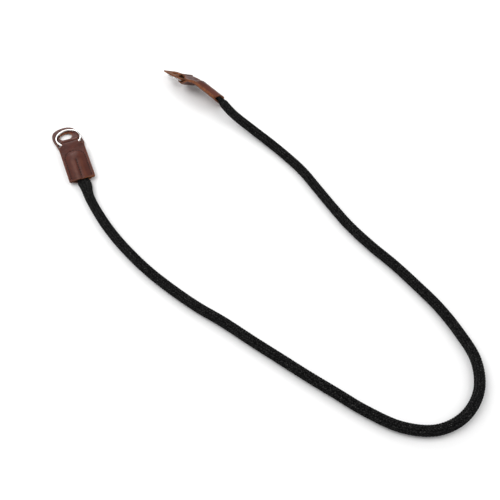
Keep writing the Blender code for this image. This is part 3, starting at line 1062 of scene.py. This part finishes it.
    def build_stitches(self, finishes: Finishes) -> bpy.types.Object:
        """Build the seam's stitches on both sides of the tab, and the thread's cut end at the back.

        Args:
            finishes: the shared finishes.

        Returns:
            The stitches, as one piece.
        """
        bm = bmesh.new()
        seam = self.seam_line()
        for leg in (Leg.FRONT, Leg.BACK):
            for k, (s, w) in enumerate(seam):
                before = seam[max(k - 1, 0)]
                after = seam[min(k + 1, len(seam) - 1)]
                along = Vector((after[0] - before[0], after[1] - before[1], 0)).normalized()
                self.add_stitch(bm, self.stitch_place(leg, s, w, along))
        for s, w in self.middle_row():
            self.add_stitch(bm, self.stitch_place(Leg.FRONT, s, w, Vector((1, 0, 0))))
        slanting = Vector((0.8, 0.6, 0))
        end = self.stitch_place(Leg.BACK, self.length - self.thread_end, self.arch_radius, slanting)
        thin_and_long = Matrix.Diagonal((0.5, 0.8, 1.6, 1))
        self.add_stitch(bm, end @ thin_and_long @ Matrix.Translation((0, 0, 0.7)))
        return add_piece(f"{self.lie.name}_tab_stitches", bm, [finishes.thread])

    def add_stitch(self, bm: bmesh.types.BMesh, place: Matrix) -> None:
        """Add one stitch to the bmesh."""
        bmesh.ops.create_uvsphere(bm, u_segments=7, v_segments=5, radius=1.0, matrix=place)


# The split ring


@dataclass
class SplitRing:
    """The split ring: flat steel wire wound twice round, stepping up from the first turn to the second."""

    lie: Lie
    outer: float = 0.0288
    wire_width: float = 0.0013
    wire_height: float = 0.0010
    turn_gap: float = 0.00015
    end_angle: float = -50.0
    flat_angle: float = 300.0
    step_angle: float = 60.0
    reach: float = 0.0098
    rounding: float = 0.00030  # of the wire's long edges
    cap_rounding: float = 0.00015  # of its two ends
    corner_steps: int = 3
    degrees_per_facet: float = 3.0

    def stack(self) -> float:
        """Return the height of both turns together."""
        return 2 * self.wire_height + self.turn_gap

    def rise(self, turned: float) -> float:
        """Return how far the wire has risen where it has turned by so many degrees."""
        return (self.wire_height + self.turn_gap) * ease((turned - self.flat_angle) / self.step_angle)

    def section(self) -> list[Pair]:
        """Give the wire's outline, a rectangle with rounded corners.

        Returns:
            The outline's points, outwards and upwards from the wire's middle.
        """
        outline = []
        for quarter in range(4):
            corner_x = (self.wire_width / 2 - self.rounding) * (1, -1, -1, 1)[quarter]
            corner_y = (self.wire_height / 2 - self.rounding) * (1, 1, -1, -1)[quarter]
            for k in range(self.corner_steps + 1):
                angle = math.pi / 2 * (quarter + k / self.corner_steps)
                out = corner_x + self.rounding * math.cos(angle)
                outline.append((out, corner_y + self.rounding * math.sin(angle)))
        return outline

    def build(self, finishes: Finishes, place: Matrix) -> bpy.types.Object:
        """Build the ring in place of its CAD node.

        Args:
            finishes: the shared finishes.
            place: the matrix from the ring's centre, at the middle height of its lower turn, to the world.

        Returns:
            The ring.
        """
        radius = (self.outer - self.wire_width) / 2
        turn = Matrix.Rotation(math.radians(90 - self.end_angle), 3, "Z")
        bm = bmesh.new()
        outline = [bm.verts.new(turn @ Vector((radius + out, 0, up))) for out, up in self.section()]
        edges = [bm.edges.new((a, b)) for a, b in zip(outline, outline[1:] + outline[:1])]
        geometry = outline + edges
        total = 2 * self.flat_angle + self.step_angle
        steps = round(total / self.degrees_per_facet)
        for k in range(steps):
            spun = bmesh.ops.spin(
                bm,
                geom=geometry,
                cent=(0, 0, 0),
                axis=(0, 0, 1),
                dvec=(0, 0, self.rise(total * (k + 1) / steps) - self.rise(total * k / steps)),
                angle=math.radians(total / steps),
                steps=1,
                use_merge=False,
            )
            geometry = spun["geom_last"]
        bmesh.ops.holes_fill(bm, edges=bm.edges, sides=0)
        bmesh.ops.recalc_face_normals(bm, faces=bm.faces)
        round_edges(bm, offset=self.cap_rounding, segments=2)
        bmesh.ops.transform(bm, matrix=place, verts=bm.verts)
        ring = add_piece(f"{self.lie.name}_split_ring", bm, [finishes.steel])
        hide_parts(f"{self.lie.name}_ring")
        return ring


# The guard


@dataclass
class Guard:
    """The guard: a leather tongue threaded on the tab's neck, with an eye for what the ring holds."""

    lie: Lie
    length: float = 0.0397
    width: float = 0.0305
    thickness: float = 0.0016
    tail: float = 0.0130
    round_length: float = 0.0175
    roundness: float = 0.85
    blunt_angle: float = 3.0  # in degrees, cut off the tip of the rounded end
    corner: float = 0.0055
    eye_width: float = 0.0145
    eye_length: float = 0.0120
    eye_centre: float = -0.0100
    slot_play: float = 0.0015
    neck_width: float = 0.0185
    edge_rounding: float = 0.00035
    pivot: float = 0.0030
    ring_rim: float = -0.0190
    ring_reach: float = 0.0098
    ripple: float = 0.00012
    ripples: float = 130.0  # to the metre
    worn_rim: float = 0.0010
    raw_eye: float = 0.0020
    round_steps: int = 22
    side_steps: int = 10
    corner_steps: int = 7
    eye_steps: int = 44
    slot_steps: int = 10
    field: float = 0.0016  # the size of the small fields that let it bend
    field_shift: float = 0.37  # how far the cuts lie off the pivot, in fields

    def __post_init__(self) -> None:
        """Work out where the outer end is."""
        self.tip = self.tail - self.length

    def outline(self) -> list[Pair]:
        """Give the guard's outline: a rounded outer end, straight sides and two round corners.

        Returns:
            The outline's points in s and w, once round.
        """
        half = self.width / 2
        round_end = self.tip + self.round_length
        swung = 90 - self.blunt_angle
        turned = [self.blunt_angle + swung * k / self.round_steps for k in range(self.round_steps + 1)]
        blunt = math.cos(math.radians(self.blunt_angle))
        side = []
        for angle in map(math.radians, turned):
            s = round_end - self.round_length * math.cos(angle) / blunt
            side.append((s, half * math.sin(angle) ** self.roundness))
        corner = self.tail - self.corner
        for k in range(1, self.side_steps + 1):
            side.append((round_end + (corner - round_end) * k / self.side_steps, half))
        for k in range(1, self.corner_steps + 1):
            angle = math.pi / 2 * k / self.corner_steps
            side.append((corner + self.corner * math.sin(angle), half - self.corner * (1 - math.cos(angle))))
        return side + [(s, -w) for s, w in reversed(side)]

    def eye(self) -> list[Pair]:
        """Give the outline of the oval eye.

        Returns:
            The outline's points in s and w, once round.
        """
        turns = [2 * math.pi * k / self.eye_steps for k in range(self.eye_steps)]
        long, wide = self.eye_length, self.eye_width
        return [(self.eye_centre + math.cos(a) * long / 2, math.sin(a) * wide / 2) for a in turns]

    def slot(self) -> list[Pair]:
        """Give the outline of the slot for the neck, with round ends.

        Returns:
            The outline's points in s and w, once round.
        """
        start = -self.slot_play - GAP
        end = 4 * LEATHER
        radius = (end - start) / 2
        straight = self.neck_width / 2 + GAP
        turns = [math.pi * k / self.slot_steps for k in range(self.slot_steps + 1)]
        one = [((start + end) / 2 + radius * math.cos(a), straight + radius * math.sin(a)) for a in turns]
        return one + [(s, -w) for s, w in reversed(one)]

    def loop(self, bm: bmesh.types.BMesh, outline: list[Pair]) -> None:
        """Add a closed flat outline to the bmesh, about the pivot.

        Args:
            bm: the guard so far.
            outline: the outline's points, once round.
        """
        made = bmesh.ops.create_circle(bm, segments=len(outline), radius=1.0)
        for vertex, (s, w) in zip(made["verts"], outline):
            vertex.co = (s - self.pivot, w, 0.0)

    def bend(self, co: Vector) -> Vector:
        """Bend a place of the flat guard down past the ring, and ripple it slightly.

        Args:
            co: the place about the pivot.

        Returns:
            The bent place about the pivot.
        """
        s = co.x + self.pivot
        turn = Matrix.Rotation(math.radians(self.lie.turn), 3, "Z")
        inward = (turn @ co).x + self.pivot - self.ring_reach
        droop = self.lie.droop * max((s - self.ring_rim) / (self.tip - self.ring_rim), 0.0) ** 2
        tail = self.lie.tail_bend * (max(inward, 0.0) / (self.tail - self.ring_reach)) ** 2
        ripple = self.ripple * noise.noise(Vector((co.x * self.ripples, co.y * self.ripples, self.lie.seed)))
        return co - Vector((0, 0, droop + tail + ripple))

    def cut_out(self) -> bmesh.types.BMesh:
        """Cut the flat guard out of the hide, with rounded edges and each side's own finish.

        Returns:
            The flat guard about the pivot, with its underside at 0.
        """
        bm = bmesh.new()
        for outline in (self.outline(), self.eye(), self.slot()):
            self.loop(bm, outline)
        bmesh.ops.triangle_fill(bm, use_beauty=True, use_dissolve=False, edges=bm.edges)
        bmesh.ops.recalc_face_normals(bm, faces=bm.faces)
        made = bmesh.ops.extrude_face_region(bm, geom=list(bm.faces))
        top = [item for item in made["geom"] if isinstance(item, bmesh.types.BMVert)]
        bmesh.ops.translate(bm, vec=(0, 0, self.thickness), verts=top)
        bmesh.ops.recalc_face_normals(bm, faces=bm.faces)
        round_edges(bm, offset=self.edge_rounding, segments=3)
        upper, under = (1, 0) if self.lie.flesh_up else (0, 1)
        for face in bm.faces:
            flat = abs(face.normal.z) >= 0.97
            face.material_index = (upper if face.normal.z > 0 else under) if flat else 2
        return bm

    def slice(self, bm: bmesh.types.BMesh) -> None:
        """Cut the flat guard into small fields, so that it can bend both ways.

        Args:
            bm: the flat guard.
        """
        for axis, reach in ((0, self.length), (1, self.width)):
            for k in range(-round(reach / self.field), round(reach / self.field) + 1):
                middle = Vector((0, 0, 0))
                middle[axis] = (k + self.field_shift) * self.field
                normal = Vector((0, 0, 0))
                normal[axis] = 1.0
                bmesh.ops.bisect_plane(
                    bm,
                    geom=list(bm.verts) + list(bm.edges) + list(bm.faces),
                    dist=ON_PLANE,
                    plane_co=middle,
                    plane_no=normal,
                )

    def build(self, finishes: Finishes, place: Matrix) -> bpy.types.Object:
        """Build the guard in place of its CAD node.

        Args:
            finishes: the shared finishes.
            place: the matrix from the guard's pivot to the world, with its underside at 0 there.

        Returns:
            The guard.
        """
        bm = self.cut_out()
        self.slice(bm)
        wear = bm.verts.layers.float.new("wear")
        raw = bm.verts.layers.float.new("raw")
        rim = [Vector((s - self.pivot, w)) for s, w in self.outline()]
        hole = [Vector((s - self.pivot, w)) for s, w in self.eye()]
        for vertex in bm.verts:
            flat = vertex.co.to_2d()
            to_rim, to_hole = (min((flat - edge).length for edge in edges) for edges in (rim, hole))
            vertex[wear] = 0.6 * bell(min(to_rim, to_hole), self.worn_rim)
            vertex[raw] = max(self.lie.raw, bell(to_hole, self.raw_eye))
            vertex.co = self.bend(vertex.co)
        bmesh.ops.transform(bm, matrix=place, verts=bm.verts)
        guard = add_piece(f"{self.lie.name}_guard_leather", bm, finishes.leather())
        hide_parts(f"{self.lie.name}_guard")
        return guard


# One end of the strap


@dataclass
class StrapEnd:
    """One end of the strap: its tab with the stitches, its split ring and its guard."""

    lie: Lie

    def tilted(self, tab: Tab, level: float, pivot: float) -> Matrix:
        """Give the place of a flat piece in the loop.

        Args:
            tab: the end's tab.
            level: the height of its underside at the pivot, in the end's frame.
            pivot: the s about which it tilts.

        Returns:
            The matrix from the piece's pivot to the world.
        """
        return (
            tab.frame
            @ Matrix.Translation((0, 0, tab.front))
            @ Matrix.Rotation(math.radians(self.lie.twist), 4, "X")
            @ Matrix.Translation((pivot, 0, level - tab.front))
            @ Matrix.Rotation(math.radians(-self.lie.tilt), 4, "Y")
        )

    def build(self, finishes: Finishes) -> None:
        """Build all the end's pieces.

        Args:
            finishes: the shared finishes.
        """
        tab = Tab(self.lie)
        ring = SplitRing(self.lie)
        guard = Guard(self.lie)
        lower = ring.stack() if self.lie.guard_on_top else guard.thickness
        floor_level = tab.loop_bottom + LEATHER / 2 + GAP
        upper_level = floor_level + (lower + GAP) / math.cos(math.radians(self.lie.tilt))
        ring_level, guard_level = floor_level, upper_level
        if not self.lie.guard_on_top:
            ring_level, guard_level = guard_level, ring_level
        ring_centre = (ring.reach - ring.outer / 2 - guard.pivot, 0, ring.wire_height / 2)
        ring_place = self.tilted(tab, ring_level, guard.pivot) @ Matrix.Translation(ring_centre)
        turn = Matrix.Rotation(math.radians(self.lie.turn), 4, "Z")
        guard_place = self.tilted(tab, guard_level, guard.pivot) @ turn
        report(tab.build(finishes))
        report(tab.build_stitches(finishes))
        report(ring.build(finishes, ring_place))
        report(guard.build(finishes, guard_place))


# The rope


class Section(NamedTuple):
    """The rope's cross-section at one point of its path."""

    middle: Vector
    side: Vector  # the direction of its width
    top: Vector  # the direction of its height
    wide: float  # half its width
    high: float  # half its height


@dataclass
class Rope:
    """The braided rope, squeezed flat in both tabs and round between them."""

    near: Tab
    far: Tab
    braid: Braid
    diameter: float = 0.0100
    flat_width: float = 0.0128  # of its squeezed section
    flat_height: float = 0.0056
    crown: float = 0.00025  # how far the braid's crowns stand out of the diameter, outside the tabs
    crown_start: float = 0.0030  # from the mouth to where they and the spread are full
    spread_fade: float = 0.0350
    lean_start: float = 0.0040  # from the mouth to where the rope begins to turn level
    lean_fade: float = 0.0500
    sides: int = 48
    row_step: float = 0.00056
    route_step: float = 0.0020
    declared_rows: int = 8  # rows of the rope to each point of the thinned-out line

    def route(self) -> list[Vector]:
        """Run the rope from inside one tab to inside the other.

        Returns:
            The points that the rope's middle runs through.
        """
        near, far = (
            [tab.frame @ Vector((s, 0, tab.rope_level())) for s in (tab.rope_end, tab.length + tab.lie.lip)]
            for tab in (self.near, self.far)
        )
        floor = [Vector(point) for point in ROUTE]
        middle = smooth_route(near[1:] + floor + far[1:], self.route_step)
        return evenly(near[:1] + middle + far[:1], self.row_step)

    def squeeze(self, done: float, left: float) -> tuple[float, float, float]:
        """Give the rope's size at a place along it.

        Args:
            done: the distance from its near end.
            left: the distance to its far end.

        Returns:
            Half its width, half its height, and how far it is turned on its side, as an angle.
        """
        tab = self.near if done < left else self.far
        out = min(done, left) - (tab.length + tab.lie.lip - tab.rope_end)
        share = ease(out / tab.lie.rounding)
        full = ease(out / self.crown_start)
        spread = tab.lie.spread * full * (1 - ease((out - self.crown_start) / self.spread_fade))
        crown = self.crown * full
        wide = (self.flat_width + share * (self.diameter - self.flat_width) + spread) / 2 + crown
        high = (self.flat_height + share * (self.diameter - self.flat_height)) / 2 + crown
        return wide, high, math.radians(tab.lie.lean) * (1 - ease((out - self.lean_start) / self.lean_fade))

    def sections(self, path: list[Vector], length: float) -> list[Section]:
        """Set the rope's cross-sections up along its path.

        Args:
            path: the points that its middle runs through.
            length: its whole length.

        Returns:
            One section for each point.
        """
        rows = len(path) - 1
        ahead = [(b - a).normalized() for a, b in zip(path, path[1:])]
        sections = []
        for row, middle in enumerate(path):
            way = (ahead[max(row - 1, 0)] + ahead[min(row, rows - 1)]).normalized()
            level = Vector((0, 0, 1)).cross(way).normalized()
            rise = way.cross(level)
            done = length * row / rows
            wide, high, lean = self.squeeze(done, length - done)
            side = level * math.cos(lean) + rise * math.sin(lean)
            top = rise * math.cos(lean) - level * math.sin(lean)
            sections.append(Section(middle, side, top, wide, high))
        return sections

    def skin(self, sections: list[Section], floats: int) -> bmesh.types.BMesh:
        """Lay the braid round the cross-sections.

        Args:
            sections: the rope's cross-sections, from end to end.
            floats: how many floats of the braid there are along it.

        Returns:
            The rope's closed shape, in world places.
        """
        rows = len(sections) - 1
        bm = bmesh.new()
        bm.loops.layers.uv.new("braid")
        bmesh.ops.create_grid(bm, x_segments=self.sides, y_segments=rows, size=0.5, calc_uvs=True)
        for vertex in bm.verts:
            row = round((vertex.co.y + 0.5) * rows)
            around = round((vertex.co.x + 0.5) * self.sides) % self.sides / self.sides
            middle, side, top, wide, high = sections[row]
            sunk = self.braid.depth * (1 - self.braid.height(around, floats * row / rows))
            angle = -2 * math.pi * around
            over, up = math.cos(angle) * (wide - sunk), math.sin(angle) * (high - sunk)
            vertex.co = middle + side * over + top * up
            vertex.co.z = max(vertex.co.z, 0.0)
        bmesh.ops.remove_doubles(bm, verts=bm.verts, dist=SAME_PLACE)
        bmesh.ops.holes_fill(bm, edges=bm.edges, sides=0)
        bmesh.ops.recalc_face_normals(bm, faces=bm.faces)
        return bm

    def build(self) -> bpy.types.Object:
        """Returns:
            The rope.
        """
        path = self.route()
        length = sum((b - a).length for a, b in zip(path, path[1:]))
        floats = round(length / self.braid.float_pitch)
        bm = self.skin(self.sections(path, length), floats)
        rope = add_piece("rope_braided", bm, [self.braid.make(float(floats))])
        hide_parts("rope")
        line = path[:: self.declared_rows]
        if (len(path) - 1) % self.declared_rows:
            line.append(path[-1])
        self.near.frame @ Vector((self.near.length, 0, self.near.rope_level()))
        LOG.info("the rope is %.3f m long, with %d floats", length, floats)
        return rope


def smooth_route(points: list[Vector], step: float) -> list[Vector]:
    """Run one smooth curve through the given points.

    Args:
        points: the route's own points.
        step: the distance between the curve's points.

    Returns:
        Points a step apart on the curve.
    """
    samples = 17  # on each stretch between two of the points, with its ends
    points = [2 * points[0] - points[1]] + points + [2 * points[-1] - points[-2]]
    dense = [points[1]]
    for a, b, c, d in zip(points, points[1:], points[2:], points[3:]):
        knots = np.cumsum([0.0] + [math.sqrt((q - p).length) for p, q in ((a, b), (b, c), (c, d))])
        for t in np.linspace(knots[1], knots[2], samples)[1:]:
            ab = a.lerp(b, (t - knots[0]) / (knots[1] - knots[0]))
            bc = b.lerp(c, (t - knots[1]) / (knots[2] - knots[1]))
            cd = c.lerp(d, (t - knots[2]) / (knots[3] - knots[2]))
            abc = ab.lerp(bc, (t - knots[0]) / (knots[2] - knots[0]))
            bcd = bc.lerp(cd, (t - knots[1]) / (knots[3] - knots[1]))
            dense.append(abc.lerp(bcd, (t - knots[1]) / (knots[2] - knots[1])))
    return evenly(dense, step)


def evenly(points: list[Vector], step: float) -> list[Vector]:
    """Set points evenly along a line.

    Args:
        points: the line's own points.
        step: about how far apart the new points are.

    Returns:
        The new points, the first and last of the line among them.
    """
    along = np.cumsum([0.0] + [(b - a).length for a, b in zip(points, points[1:])])
    stations = np.linspace(0.0, along[-1], round(along[-1] / step) + 1)
    axes = [np.interp(stations, along, [point[axis] for point in points]) for axis in range(3)]
    return [Vector(place) for place in zip(*axes)]


# The studio


@dataclass(frozen=True)
class Softbox:
    """One soft light: where it hangs, how big it is and how strong."""

    name: str
    place: Place
    size: float
    power: float


@dataclass
class Studio:
    """A plain pale floor, soft lights and the camera at the photograph's angle."""

    camera_place: Place = (-0.32914, -0.62616, 0.650)
    looks_down: float = 52.0
    azimuth: float = -39.0
    lens: float = 57.6
    sensor: float = 36.0
    floor_size: float = 6.0
    floor_drop: float = 0.0001  # keeps the floor just under what rests on it
    floor_colour: Colour = (0.93, 0.93, 0.93)
    floor_grain: float = 0.985  # how bright its darker grains are beside the rest
    sky: Colour = (1.0, 1.0, 1.0)
    sky_strength: float = 0.60
    lights: tuple[Softbox, ...] = (
        Softbox("key", (-0.7, 0.5, 1.5), 1.3, 17.0),
        Softbox("fill", (1.0, -0.9, 1.2), 1.4, 9.0),
        Softbox("back", (0.3, 1.4, 0.9), 0.9, 8.0),
    )

    def set_camera(self) -> None:
        """Set up the camera, with colours shown as they are."""
        bpy.context.scene.view_settings.view_transform = "Standard"
        data = bpy.data.cameras.new("camera")
        data.lens = self.lens
        data.sensor_width = self.sensor
        data.clip_start = 0.01
        camera = bpy.data.objects.new("camera", data)
        camera.location = self.camera_place
        camera.rotation_euler = (math.radians(90 - self.looks_down), 0, math.radians(self.azimuth))
        bpy.context.scene.collection.objects.link(camera)
        bpy.context.scene.camera = camera

    def lay_floor(self) -> None:
        """Lay the floor."""
        r = Recipe("pale_floor")
        grain = r.span(r.clouds(r.place(), scale=900.0), low=0.3, high=0.7)
        darker = tuple(part * self.floor_grain for part in self.floor_colour)
        material = r.finish(Base_Color=r.mix(grain, self.floor_colour, darker), Roughness=0.7)
        bm = bmesh.new()
        bmesh.ops.create_grid(bm, x_segments=1, y_segments=1, size=self.floor_size / 2)
        bmesh.ops.translate(bm, vec=(0, 0, -self.floor_drop), verts=bm.verts)
        mesh = bpy.data.meshes.new("floor")
        bm.to_mesh(mesh)
        bm.free()
        mesh.materials.append(material)
        floor = bpy.data.objects.new("floor", mesh)
        bpy.context.scene.collection.objects.link(floor)

    def hang_lights(self) -> None:
        """Hang the softboxes and light the room."""
        world = bpy.data.worlds.new("room")
        world.use_nodes = True
        background = world.node_tree.nodes["Background"]
        background.inputs["Color"].default_value = (*self.sky, 1.0)
        background.inputs["Strength"].default_value = self.sky_strength
        bpy.context.scene.world = world
        for box in self.lights:
            data = bpy.data.lights.new(box.name, "AREA")
            data.shape = "SQUARE"
            data.size = box.size
            data.energy = box.power
            light = bpy.data.objects.new(box.name, data)
            light.location = box.place
            light.rotation_euler = (-Vector(box.place)).to_track_quat("-Z", "Y").to_euler()
            bpy.context.scene.collection.objects.link(light)


def report(piece: bpy.types.Object) -> None:
    """Report a finished piece."""
    LOG.info("%s: %d faces", piece.name, len(piece.data.polygons))


def main() -> None:
    """Build the studio, the rope and both ends."""
    logging.basicConfig(level=logging.INFO, format="%(name)s: %(message)s")
    studio = Studio()
    studio.set_camera()
    report(Rope(near=Tab(NEAR), far=Tab(FAR), braid=Braid()).build())
    finishes = Finishes.make()
    for lie in (NEAR, FAR):
        StrapEnd(lie).build(finishes)
    studio.lay_floor()
    studio.hang_lights()


if __name__ == "__main__":
    main()
